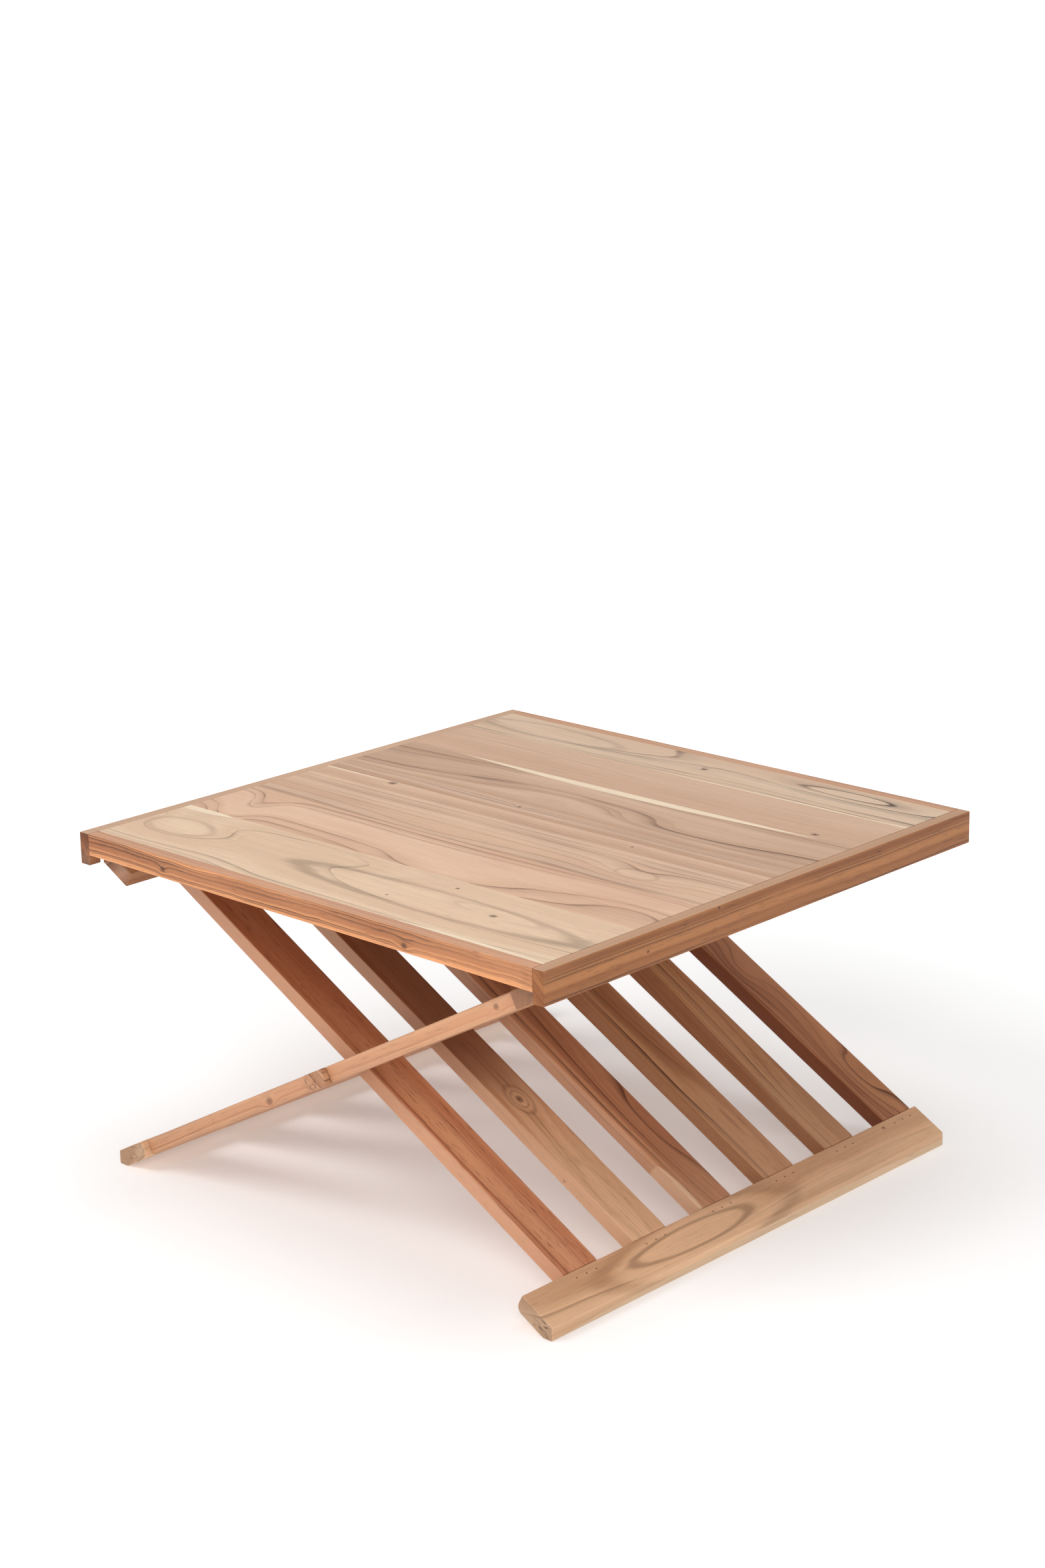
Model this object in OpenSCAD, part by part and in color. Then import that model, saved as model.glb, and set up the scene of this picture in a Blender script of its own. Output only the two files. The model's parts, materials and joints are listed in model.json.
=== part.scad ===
// Folding picnic table: a framed board top on two slatted leg frames that cross like scissors.
// X runs along the top boards towards the hinged end, Y runs from front to back, Z is up.
// The origin is on the floor, under the middle of the top.

/* [Top] */
// Length of the top, along its boards
top_l = 710; // [560:1:900]
// Width of the top, from front to back
top_w = 700; // [560:1:900]
// Height of the top surface above the floor
top_h = 402; // [330:1:500]
// Thickness of the boards
board_t = 20; // [16:0.5:26]
// Width of each board from front to back, as parts of the space between the rails
board_parts = [20, 14.5, 18, 21, 14, 12.5]; // [8:0.5:30]
// Thickness of the battens across the board ends
batten_t = 15; // [12:0.5:22]
// Height of the end battens
batten_h = 37; // [32:0.5:48]
// Thickness of the rails along the front and the back
rail_t = 16; // [12:0.5:20]
// Height of the rails
rail_h = 25; // [22:0.5:30]
// How far the relieved left batten reaches below the boards, as the stop of the loose leg bar
stop_lip = 4; // [2:0.5:5]

/* [Leg frames] */
// Slats in each of the two leg frames
slat_count = 6; // [4:1:8]
// Thickness of the slats
slat_t = 19; // [15:0.5:23]
// Gap between a slat and its neighbour of the other frame
slat_gap = 2.5; // [1.5:0.1:5]
// Thickness of the foot bars and top bars
bar_t = 20; // [18:0.5:26]
// Width of the bars, along the slope
bar_w = 46.5; // [38:0.5:56]
// Space between the end of a bar and the rail beside it
bar_end_gap = 2; // [1:0.5:6]
// How far the outer face of each foot stands in from the end of the top
foot_inset = 14; // [8:0.5:30]
// Width of the flat that each foot stands on
foot_flat = 12.5; // [8:0.5:16]
// How far the bar ends stand out beyond the outermost slats
bar_overhang = 8.5; // [6:0.5:20]
// Bevel on the loose top bar, which lets it slide out past the stop
latch_bevel = 14; // [8:0.5:16]
// Width of a pivot block, along the slope
block_w = 33; // [26:0.5:45]

/* [Joinery] */
// Thickness of the slat tenons
tenon_t = 8; // [6:0.5:10]
// Length of the slat tenons
tenon_l = 26; // [18:0.5:32]
// Shoulder on each side of a tenon
tenon_shoulder = 5; // [3:0.5:8]
// Depth of the tongues on the boards
tongue_d = 6; // [4:0.5:8]
// Thickness of the tongues on the boards
tongue_t = 7; // [5:0.5:8]
// Radius of the dowels between the rails and the battens
dowel_r = 3; // [2:0.25:4]
// Length of the dowels
dowel_l = 30; // [20:1:40]
// Radius of the brads that pin the tenons
brad_r = 0.8; // [0.5:0.1:1.2]
// Distance from a bar's inner edge to its row of brads
brad_inset = 9; // [6:0.5:14]
// Brads through each tenon
brads_per_tenon = 3; // [2:1:4]

/* [Axle] */
// Radius of the axle rod
axle_r = 5; // [3:0.25:6]
// Radial play of the rod in the slats
axle_play = 0.05; // [0.02:0.01:0.1]
// Radius of the washers between the slats
washer_r = 8; // [7:0.25:9]
// Side play of each washer
washer_play = 0.2; // [0.1:0.05:0.4]

/* [Hinges] */
// Length of each hinge
hinge_l = 60; // [40:1:90]
// Distance of each hinge's middle from the middle of the top
hinge_y = 250; // [120:1:280]
// Width of a hinge leaf
leaf_w = 27; // [22:0.5:30]
// Thickness of a hinge leaf
leaf_t = 1.5; // [1:0.1:2]
// Distance from the hinge axis to the faces that the leaves lie on
hinge_off = 2; // [1.6:0.1:3]
// Radius of the knuckles
knuckle_r = 3; // [2.5:0.1:4]
// Radius of the hinge pin
pin_r = 1.2; // [1:0.1:1.5]
// Radius of the screw shanks
screw_r = 1.5; // [1:0.1:2]
// Length of the screws
screw_l = 13; // [8:0.5:15]

/* [Hidden] */
$fn = 48;
eps = 0.01;
rest_gap = 0.3;

// The top's inner faces and underside
inner_x = top_l / 2 - batten_t;
inner_y = top_w / 2 - rail_t;
under_z = top_h - board_t;
board_unit = 2 * inner_y / sum(board_parts, len(board_parts));

// The two frames cross halfway between the floor and the boards. Their slope follows from the
// foot: the lower face of a frame meets the floor where the foot's flat begins.
pivot_z = under_z / 2;
foot_x = top_l / 2 - foot_inset;
slope_x = foot_x - foot_flat;
tilt = atan(pivot_z / slope_x) - asin(bar_t / 2 / norm([slope_x, pivot_z]));
bar_in = (foot_x - bar_t / 2 * sin(tilt)) / cos(tilt) - bar_w;
bar_x = inner_x - 1;

// Slats of both frames alternate along the axle
bar_half = inner_y - bar_end_gap;
slat_edge = bar_half - bar_overhang;
pitch = (2 * slat_edge + slat_gap) / (2 * slat_count);
slat_w = pitch - slat_gap;
tenon_w = slat_w - 2 * tenon_shoulder;
brad_pitch = (tenon_w - 12) / (brads_per_tenon - 1);
brad_l = bar_t - 4;
socket_gap = 0.5;

// Pivot blocks and axle
block_skin = 2;
axle_half = bar_half - block_skin;
washer_t = slat_gap - washer_play;

// The hinge axis lies between the boards' underside and the upper face of the hinged top bar
hinge_z = under_z - hinge_off;
hinge_v = bar_t / 2 + hinge_off;
hinge_x = ((hinge_z - pivot_z) * cos(tilt) - hinge_v) / sin(tilt);
hinge_u = hinge_x * cos(tilt) + (hinge_z - pivot_z) * sin(tilt);
knuckles = 5;
knuckle_gap = 0.3;
groove_r = knuckle_r + 0.5;
screw_pitch = hinge_l / 3;
screw_head_r = 2 * screw_r;

indices = [1:slat_count];

// Sum of the first n values of a list
function sum(list, n) = n == 0 ? 0 : list[n - 1] + sum(list, n - 1);

// Middle of a slat of the hinged frame, counted from the front
function slat_y(i) = (2 * i - 1.5 - slat_count) * pitch;

// A block centred on Y, from x0 to x1 and from z0 to z1
module bar_block(x0, x1, z0, z1, half) {
    translate([x0, -half, z0]) cube([x1 - x0, 2 * half, z1 - z0]);
}

// A cylinder along Y, from y0 to y1
module y_cylinder(r, y0, y1) {
    translate([0, y1, 0]) rotate([90, 0, 0]) cylinder(r = r, h = y1 - y0);
}

// ---- Top ----

module dowel_solid() {
    dowel_in_batten = batten_t - 4;
    for (sx = [-1, 1], sy = [-1, 1])
        translate([sx * inner_x, sy * (inner_y + rail_t / 2), top_h - rail_h / 2])
            rotate([0, sx * 90, 0])
                translate([0, 0, dowel_in_batten - dowel_l]) cylinder(r = dowel_r, h = dowel_l);
}

module rail_dowels() {
    color("burlywood") dowel_solid();
}

// A batten at the +X end, with a groove for the board tongues
module end_batten() {
    difference() {
        bar_block(inner_x, top_l / 2, top_h - batten_h, top_h, top_w / 2);
        bar_block(inner_x - eps, inner_x + tongue_d + socket_gap,
            top_h - (board_t + tongue_t) / 2, top_h - (board_t - tongue_t) / 2, inner_y);
        dowel_solid();
    }
}

module right_end_batten() {
    color("sienna") end_batten();
}

// Between the rails the left batten is relieved down to a low stop for the loose leg bar
module left_end_batten() {
    color("sienna") difference() {
        mirror([1, 0, 0]) end_batten();
        bar_block(-top_l, 0, 0, under_z - stop_lip, inner_y);
    }
}

module rail(side) {
    difference() {
        translate([-inner_x, side > 0 ? inner_y : -top_w / 2, top_h - rail_h])
            cube([2 * inner_x, rail_t, rail_h]);
        dowel_solid();
    }
}

module front_rail() {
    color("peru") rail(-1);
}

module back_rail() {
    color("peru") rail(1);
}

// Board i, counted from the front, with a tongue at each end and along its back edge
module top_board(i) {
    w = board_parts[i - 1] * board_unit;
    y0 = sum(board_parts, i - 1) * board_unit - inner_y;
    tongue_z = under_z + (board_t - tongue_t) / 2;
    color(i % 2 == 0 ? "burlywood" : "tan") difference() {
        union() {
            translate([-inner_x, y0, under_z]) cube([2 * inner_x, w, board_t]);
            translate([-inner_x - tongue_d, y0, tongue_z])
                cube([2 * (inner_x + tongue_d), w, tongue_t]);
            if (i < len(board_parts))
                translate([-inner_x, y0 + w - eps, tongue_z])
                    cube([2 * inner_x, tongue_d + eps, tongue_t]);
        }
        if (i > 1)
            translate([-top_l, y0 - eps, tongue_z])
                cube([2 * top_l, tongue_d + socket_gap, tongue_t]);
        hinge_grooves();
        top_screws();
    }
}

// ---- Leg frames, drawn as the hinged frame, which rises to the right ----

// Turns a frame's own axes into place: x along the slats, z out of the upper face
module in_frame() {
    translate([0, 0, pivot_z]) rotate([0, -tilt, 0]) children();
}

// The crossing frame is the same frame turned half round
module crossing() {
    rotate([0, 0, 180]) children();
}

// Side view of a bar between two distances along the slope
module bar_side(u0, u1) {
    translate([0, pivot_z]) rotate(tilt) translate([u0, -bar_t / 2]) square([u1 - u0, bar_t]);
}

// A side view drawn in X and Z, made as long as a bar
module along_bar() {
    rotate([90, 0, 0]) linear_extrude(height = 2 * bar_half, center = true) children();
}

module tenon_sockets(side) {
    in_frame() for (i = indices)
        translate([side * bar_in, slat_y(i), 0])
            bar_block(-tenon_l - socket_gap, tenon_l + socket_gap, -tenon_t / 2, tenon_t / 2,
                tenon_w / 2);
}

module brads(side) {
    in_frame() for (i = indices, k = [0:brads_per_tenon - 1])
        translate([side * (bar_in + brad_inset),
            slat_y(i) + (k - (brads_per_tenon - 1) / 2) * brad_pitch, bar_t / 2 - brad_l])
            cylinder(r = brad_r, h = brad_l, $fn = 16);
}

// Foot bar: cut upright on its outer face and flat where it stands
module foot_bar() {
    difference() {
        along_bar() intersection() {
            bar_side(-bar_in - 2 * bar_w, -bar_in);
            translate([-foot_x, 0]) square([foot_x, pivot_z]);
        }
        tenon_sockets(-1);
        brads(-1);
    }
}

// Top bar: cut upright beside the batten and flat under the boards
module top_bar(bevel) {
    top_z = under_z - rest_gap;
    difference() {
        along_bar() difference() {
            intersection() {
                bar_side(bar_in, bar_in + 2 * bar_w);
                translate([0, pivot_z]) square([bar_x, top_z - pivot_z]);
            }
            translate([bar_x, top_z])
                polygon([[-bevel, eps], [eps, -bevel], [eps, eps]]);
        }
        tenon_sockets(1);
        brads(1);
    }
}

module slat(i) {
    difference() {
        in_frame() translate([0, slat_y(i), 0]) difference() {
            union() {
                bar_block(-bar_in, bar_in, -slat_t / 2, slat_t / 2, slat_w / 2);
                bar_block(-bar_in - tenon_l, bar_in + tenon_l, -tenon_t / 2, tenon_t / 2,
                    tenon_w / 2);
            }
            y_cylinder(axle_r + axle_play, -pitch, pitch);
        }
        brads(-1);
        brads(1);
    }
}

// Block that hides the end of the axle on the frame's outermost slat
module pivot_block(bore_r) {
    in_frame() difference() {
        translate([-block_w / 2, -bar_half, -slat_t / 2])
            cube([block_w, bar_overhang, slat_t]);
        y_cylinder(bore_r, -axle_half, 0);
    }
}

module leg_brads() {
    color("silver") {
        brads(-1);
        brads(1);
    }
}

// The hinge screws go through a tenon where one lies behind the hinge
module hinged_slat(i) {
    color("chocolate") difference() {
        slat(i);
        leg_screws();
    }
}

module hinged_foot_bar() {
    color("peru") foot_bar();
}

module hinged_top_bar() {
    color("peru") difference() {
        top_bar(0.5);
        hinge_grooves();
        leg_screws();
    }
}

module hinged_leg_brads() {
    leg_brads();
}

module hinged_pivot_block() {
    color("tan") pivot_block(axle_r);
}

// Counted from the front, as the slats of the hinged frame are
module crossing_slat(i) {
    color("sienna") crossing() slat(slat_count + 1 - i);
}

module crossing_foot_bar() {
    color("peru") crossing() foot_bar();
}

module crossing_top_bar() {
    color("peru") crossing() top_bar(latch_bevel);
}

module crossing_leg_brads() {
    crossing() leg_brads();
}

module crossing_pivot_block() {
    color("tan") crossing() pivot_block(axle_r + axle_play);
}

// ---- Axle ----

module axle_rod() {
    color("gray") in_frame() y_cylinder(axle_r, -axle_half, axle_half - rest_gap);
}

// Each washer lies against a slat of the hinged frame
module axle_washers() {
    color("silver") in_frame() for (i = indices, side = [-1, 1])
        if (i > 1 || side > 0)
            translate([0, slat_y(i) + side * (slat_w + washer_t) / 2, 0]) difference() {
                y_cylinder(washer_r, -washer_t / 2, washer_t / 2);
                y_cylinder(axle_r + axle_play, -pitch, pitch);
            }
}

// ---- Hinges ----

module hinge_places() {
    for (side = [-1, 1]) translate([0, side * hinge_y, 0]) children();
}

module on_hinge_axis() {
    translate([hinge_x, 0, hinge_z]) children();
}

// Room for the knuckles in the boards and in the leg bar
module hinge_grooves() {
    hinge_places() on_hinge_axis() y_cylinder(groove_r, -hinge_l / 2 - 1, hinge_l / 2 + 1);
}

// Every second knuckle, starting with the first or the second
module leaf_knuckles(first) {
    step = hinge_l / knuckles;
    for (k = [first:2:knuckles - 1])
        y_cylinder(knuckle_r, k * step - hinge_l / 2 + knuckle_gap / 2,
            (k + 1) * step - hinge_l / 2 - knuckle_gap / 2);
}

// Cuts the other leaf's knuckles, with play, out of a leaf
module knuckle_cuts(first) {
    step = hinge_l / knuckles;
    for (k = [first:2:knuckles - 1])
        y_cylinder(groove_r, k * step - hinge_l / 2 - knuckle_gap / 2,
            (k + 1) * step - hinge_l / 2 + knuckle_gap / 2);
}

// A countersunk screw pointing up, with its head's face at z = 0
module screw() {
    cylinder(r = screw_r, h = screw_l);
    cylinder(r1 = screw_head_r, r2 = screw_r, h = screw_r);
}

module top_screws() {
    hinge_places() for (k = [-1:1])
        translate([hinge_x - 0.6 * leaf_w, k * screw_pitch, under_z - leaf_t]) screw();
}

module leg_screws() {
    in_frame() hinge_places() for (k = [-1:1])
        translate([hinge_u - 0.6 * leaf_w, k * screw_pitch, bar_t / 2 + leaf_t])
            mirror([0, 0, 1]) screw();
}

module top_hinge_leaves() {
    color("lightgray") difference() {
        hinge_places() difference() {
            union() {
                translate([hinge_x - leaf_w, 0, 0])
                    bar_block(0, leaf_w, under_z - leaf_t, under_z, hinge_l / 2);
                on_hinge_axis() leaf_knuckles(0);
            }
            on_hinge_axis() knuckle_cuts(1);
            on_hinge_axis() y_cylinder(pin_r, -hinge_l, hinge_l);
        }
        top_screws();
    }
}

module leg_hinge_leaves() {
    color("lightgray") difference() {
        hinge_places() difference() {
            union() {
                in_frame() translate([hinge_u - leaf_w, 0, 0])
                    bar_block(0, leaf_w, bar_t / 2, bar_t / 2 + leaf_t, hinge_l / 2);
                on_hinge_axis() leaf_knuckles(1);
            }
            on_hinge_axis() knuckle_cuts(0);
            on_hinge_axis() y_cylinder(pin_r + axle_play, -hinge_l, hinge_l);
        }
        leg_screws();
    }
}

module hinge_pins() {
    color("silver") hinge_places() on_hinge_axis() y_cylinder(pin_r, -hinge_l / 2, hinge_l / 2);
}

module top_hinge_screws() {
    color("silver") top_screws();
}

module leg_hinge_screws() {
    color("silver") leg_screws();
}

left_end_batten();
right_end_batten();
front_rail();
back_rail();
rail_dowels();
for (i = [1:len(board_parts)])
    top_board(i);
top_hinge_leaves();
top_hinge_screws();
hinge_pins();
for (i = indices)
    hinged_slat(i);
hinged_foot_bar();
hinged_top_bar();
hinged_leg_brads();
hinged_pivot_block();
leg_hinge_leaves();
leg_hinge_screws();
axle_rod();
axle_washers();
for (i = indices)
    crossing_slat(i);
crossing_foot_bar();
crossing_top_bar();
crossing_leg_brads();
crossing_pivot_block();
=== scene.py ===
"""Folding picnic table of oiled solid wood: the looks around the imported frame.

Every wooden sub-part becomes a plank with eased edges and its own growth lines, eyes, knots
and sapwood. A plank's own axes are x along the grain, y across its width and z out of its
broad face. The metal parts keep their shapes and get worn finishes.
"""

import json
import math

import bmesh
import bpy
from mathutils import Matrix, Vector, noise

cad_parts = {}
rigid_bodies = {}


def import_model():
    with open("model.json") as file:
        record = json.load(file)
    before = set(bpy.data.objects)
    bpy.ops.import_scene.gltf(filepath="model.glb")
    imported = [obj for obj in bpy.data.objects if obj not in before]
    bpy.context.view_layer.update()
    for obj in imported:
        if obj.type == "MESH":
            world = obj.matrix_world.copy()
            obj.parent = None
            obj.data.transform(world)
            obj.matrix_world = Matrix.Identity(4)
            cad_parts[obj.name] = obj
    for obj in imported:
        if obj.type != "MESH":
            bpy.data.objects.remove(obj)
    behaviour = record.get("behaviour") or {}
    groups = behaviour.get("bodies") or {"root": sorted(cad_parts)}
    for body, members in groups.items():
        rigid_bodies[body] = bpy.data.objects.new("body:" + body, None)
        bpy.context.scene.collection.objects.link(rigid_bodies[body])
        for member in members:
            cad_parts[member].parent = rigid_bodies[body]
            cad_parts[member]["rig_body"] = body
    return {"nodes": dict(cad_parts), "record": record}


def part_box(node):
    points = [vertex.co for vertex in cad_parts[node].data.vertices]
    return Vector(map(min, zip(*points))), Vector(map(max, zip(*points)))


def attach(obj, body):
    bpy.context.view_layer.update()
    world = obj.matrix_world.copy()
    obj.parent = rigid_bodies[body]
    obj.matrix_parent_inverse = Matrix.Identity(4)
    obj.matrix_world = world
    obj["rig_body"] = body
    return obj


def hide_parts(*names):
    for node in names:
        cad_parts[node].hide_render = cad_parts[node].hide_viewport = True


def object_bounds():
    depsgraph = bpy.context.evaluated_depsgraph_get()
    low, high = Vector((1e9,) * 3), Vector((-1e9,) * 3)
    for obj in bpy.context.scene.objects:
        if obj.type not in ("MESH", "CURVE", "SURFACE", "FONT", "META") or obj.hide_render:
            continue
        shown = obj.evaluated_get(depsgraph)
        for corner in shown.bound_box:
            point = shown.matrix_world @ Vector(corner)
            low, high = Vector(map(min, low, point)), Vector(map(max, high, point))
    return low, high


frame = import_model()
cad_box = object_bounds()

MM = 0.001
DIGITS = 5  # decimals of a metre to which coordinates are compared


# ---- Plank shapes ----

SQUARE_ON = 0.1  # largest cosine between directions that count as square to each other
FLAT_TURN = 1e-9  # largest cross product of two sides that lie in one line
SHARP_TURN = math.radians(4)  # least turn at a corner of an outline
SHORT_SIDE = 1.5 * MM  # sides below this leave no room for rounded corners
CORNER_SHARE = 0.45  # the most of a side that one rounded corner takes
ARC_STEPS = 4  # of a rounded corner, and of an eased end
RING_STEP = 12 * MM  # between the cross-sections of an uneven plank
WAVE_SIZE = 9.0  # waves of a worked edge, per metre
WAVE_SPACING = 7.3  # keeps the waves of two seeds apart
CORNER_SEEDS = 3  # seeds between the waves of two neighbouring corners
LEAST_ROUND, ROUND_RANGE = 0.65, 0.7  # a corner's radius, as shares of the one it is given
FACE_SHARE = 0.98  # of half the thickness, beyond which a point lies on a broad face
TENON_RADIUS = 0.3 * MM
HINGE_LENGTH = 60 * MM
GROOVE_RADIUS = 3.5 * MM
GROOVE_EXCESS = 2 * MM  # of both ends together
GROOVE_SEGMENTS = 24


def steady(direction, centre):
    """Turns a direction to point up, or away from the middle of the table if it lies level."""
    if abs(direction.z) > SQUARE_ON:
        return direction if direction.z > 0 else -direction
    return direction if direction.dot(centre) > 0 else -direction


def face_areas(mesh, centre):
    """Surface of a plank for each direction that its faces point in, as vectors."""
    areas = {}
    for face in mesh.polygons:
        direction = steady(face.normal, centre)
        key = tuple(round(value, 1) for value in direction)
        areas[key] = areas.get(key, Vector((0, 0, 0))) + direction * face.area
    return sorted(areas.values(), key=lambda total: -total.length)


def span(points, axis):
    """Distance that some points reach along an axis."""
    places = [point.dot(axis) for point in points]
    return max(places) - min(places)


def limits(points, k):
    """Lowest and highest coordinate k of some points."""
    values = [point[k] for point in points]
    return min(values), max(values)


def plank_axes(node, mesh, centre):
    """Rotation whose columns are the grain, width and thickness directions."""
    points = [vertex.co for vertex in mesh.vertices]
    directions = [area.normalized() for area in face_areas(mesh, centre)]
    thick = directions[0]
    level = next(one for one in directions if abs(one.dot(thick)) < SQUARE_ON)
    other = level.cross(thick)
    grain = level if span(points, level) > span(points, other) else other
    if grain.x + grain.y < 0:
        grain = -grain
    columns = [grain, thick.cross(grain), thick]
    if "block" in node:  # its end grain faces out
        columns = [columns[2], columns[0], columns[1]]
    return Matrix(columns).transposed()


def cross(a, b):
    """Cross product of two flat vectors."""
    return a.x * b.y - a.y * b.x


def hull(points):
    """Outline around 2-D points, counter-clockwise, without points that lie on its sides."""
    ordered = sorted({(round(p.x, DIGITS), round(p.y, DIGITS)) for p in points})
    sides = []
    for line in (ordered, ordered[::-1]):
        chain = []
        for place in line:
            point = Vector(place)
            while len(chain) > 1 and cross(chain[-1] - chain[-2], point - chain[-1]) < FLAT_TURN:
                chain.pop()
            chain.append(point)
        sides += chain[:-1]
    return [
        point
        for i, point in enumerate(sides)
        if (point - sides[i - 1]).angle(sides[(i + 1) % len(sides)] - point) > SHARP_TURN
    ]


def without_short_sides(outline):
    """The outline, where the corner its neighbours meet in replaces a side too short to round."""
    count = len(outline)
    for i, corner in enumerate(outline):
        after = outline[(i + 1) % count]
        if (after - corner).length < SHORT_SIDE:
            arrival, departure = corner - outline[i - 1], outline[(i + 2) % count] - after
            share = cross(after - corner, departure) / cross(arrival, departure)
            kept = [point for point in outline if point not in (corner, after)]
            kept.insert(min(i, len(kept)) if i + 1 < count else 0, corner + arrival * share)
            return without_short_sides(kept)
    return outline


def rectangle(y0, y1, z0, z1):
    """Outline of a squared plank, counter-clockwise."""
    return [Vector(corner) for corner in ((y0, z0), (y1, z0), (y1, z1), (y0, z1))]


def corner_arms(outline, i):
    """Unit vectors from corner i to its neighbours, half their angle, and the shorter side."""
    to_last = outline[i - 1] - outline[i]
    to_next = outline[(i + 1) % len(outline)] - outline[i]
    shorter = min(to_last.length, to_next.length)
    return to_last.normalized(), to_next.normalized(), to_last.angle(to_next) / 2, shorter


def inset(outline, depth):
    """The outline with every side moved in by depth."""
    moved = []
    for i, corner in enumerate(outline):
        a, b, half, _ = corner_arms(outline, i)
        moved.append(corner + (a + b).normalized() * (depth / math.sin(half)))
    return moved


def rounded(outline, radii):
    """The outline with each corner turned into an arc of its own radius."""
    points = []
    for i, corner in enumerate(outline):
        a, b, half, shorter = corner_arms(outline, i)
        reach = min(radii[i] / math.tan(half), CORNER_SHARE * shorter)
        radius = reach * math.tan(half)
        middle = corner + (a + b).normalized() * (radius / math.sin(half))
        first = corner + a * reach - middle
        last = corner + b * reach - middle
        sweep = math.atan2(cross(first, last), first.dot(last))
        start = math.atan2(first.y, first.x)
        for step in range(ARC_STEPS + 1):
            angle = start + sweep * step / ARC_STEPS
            points.append(middle + Vector((math.cos(angle), math.sin(angle))) * radius)
    return points


def wave(x, seed):
    """Slow hand-worked unevenness along a plank, from 0 to 1."""
    return 0.5 + 0.5 * noise.noise(Vector((x * WAVE_SIZE, seed * WAVE_SPACING, 0.5)))


def eased_places(start, end, ease, uneven):
    """Places of the cross-sections along a stretch, and how deep each is set in for the ease."""
    angles = [math.pi / 2 * step / ARC_STEPS for step in range(ARC_STEPS)] if ease else []
    rise = [(start + ease * (1 - math.cos(a)), ease * (1 - math.sin(a))) for a in angles]
    first, last = start + ease, end - ease
    count = max(1, round((last - first) / RING_STEP)) if uneven else 1
    level = [(first + (last - first) * i / count, 0) for i in range(count + 1)]
    return rise + level + [(start + end - x, depth) for x, depth in reversed(rise)]


def section_rings(section, seed):
    """Rings of points of one stretch of a plank, from its start to its end."""
    ease, wobble = section.get("ease", 0), section.get("wobble", 0)
    rings = []
    for x, depth in eased_places(section["start"], section["end"], ease, ease or wobble):
        sizes = [
            radius * (LEAST_ROUND + ROUND_RANGE * wave(x, seed + CORNER_SEEDS * i))
            for i, radius in enumerate(section["radii"])
        ]
        shrunk = inset(section["outline"], depth + wobble * wave(x, seed))
        rings.append([Vector((x, p.x, p.y)) for p in rounded(shrunk, sizes)])
    return rings


def loft(name, sections, seed):
    """One closed mesh along x through all sections. Each step between two is a flat face."""
    mesh = bpy.data.meshes.new(name)
    bm = bmesh.new()
    rings = [ring for section in sections for ring in section_rings(section, seed)]
    rings = [[bm.verts.new(point) for point in ring] for ring in rings]
    for one, two in zip(rings, rings[1:]):
        for i in range(len(one)):
            bm.faces.new((one[i - 1], one[i], two[i], two[i - 1]))
    bm.faces.new(rings[0])
    bm.faces.new(rings[-1][::-1])
    bmesh.ops.recalc_face_normals(bm, faces=bm.faces)
    bm.to_mesh(mesh)
    bm.free()
    mesh.shade_smooth()
    return mesh


def local_points(mesh, axes, centre):
    """A CAD mesh's points along a plank's own axes, from its centre."""
    turn = axes.transposed()
    return [turn @ (vertex.co - centre) for vertex in mesh.vertices]


def on_faces(points):
    """The points on a plank's two broad faces."""
    top = max(abs(p.z) for p in points)
    return [p for p in points if abs(p.z) > FACE_SHARE * top]


def foot_corners(node, outline):
    """For each corner of a foot bar's outline, whether its underside meets the flat there."""
    if "foot_bar" not in node:
        return [False] * len(outline)
    lowest = min(point.y for point in outline)
    underside = [point for point in outline if point.y < lowest + MM]
    inner = max(underside, key=lambda point: abs(point.x))
    return [point == inner for point in outline]


def plank_sections(node, points, look):
    """Body of a plank between its shoulders, with the tenons or tongues out of its ends."""
    ease, wobble = look["ease"] * MM, look["wobble"] * MM
    top = max(abs(p.z) for p in points)
    faces = on_faces(points)
    x0, x1 = limits(faces, 0)
    tail = [p for p in points if p.x > x1 + MM]
    if tail:
        outline = rectangle(*limits(faces, 1), -top, top)
    else:
        end = [Vector((p.y, p.z)) for p in points if p.x > x1 - MM]
        outline = without_short_sides(hull(end))
    foot_ease = look.get("foot_ease", look["ease"]) * MM
    radii = [foot_ease if at_foot else ease for at_foot in foot_corners(node, outline)]
    body = {"start": x0, "end": x1, "outline": outline, "radii": radii}
    body.update(ease=ease, wobble=wobble)
    if not tail:
        return [body]
    reach = limits(tail, 0)[1]
    thin = rectangle(*limits(tail, 1), *limits(tail, 2))
    tenon = {"outline": thin, "radii": [TENON_RADIUS] * len(thin)}
    return [{"start": -reach, "end": x0, **tenon}, body, {"start": x1, "end": reach, **tenon}]


def relieved(body, lip, inner):
    """Splits a batten's body where its edge is cut back to a lip between the rails."""
    low, high = limits(body["outline"], 0)
    cut = high if lip > 0 else low
    lower = [Vector((lip if abs(p.x - cut) < MM else p.x, p.y)) for p in body["outline"]]
    return [
        {**body, "end": -inner},
        {**body, "start": -inner, "end": inner, "outline": lower, "ease": 0},
        {**body, "start": inner},
    ]


def batten_relief(points):
    """Where the edge of the batten's cut-back stretch lies, and half the length of that stretch."""
    inner = -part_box("front_rail")[1].y
    edge = [p.y for p in points if abs(p.x) < inner + MM]
    bottom = max(edge) if max(edge) > -min(edge) else min(edge)
    steps = sorted({round(abs(y - bottom), DIGITS) for y in edge})
    lip = bottom - math.copysign(next(step for step in steps if step > MM), bottom)
    return lip, inner


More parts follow.
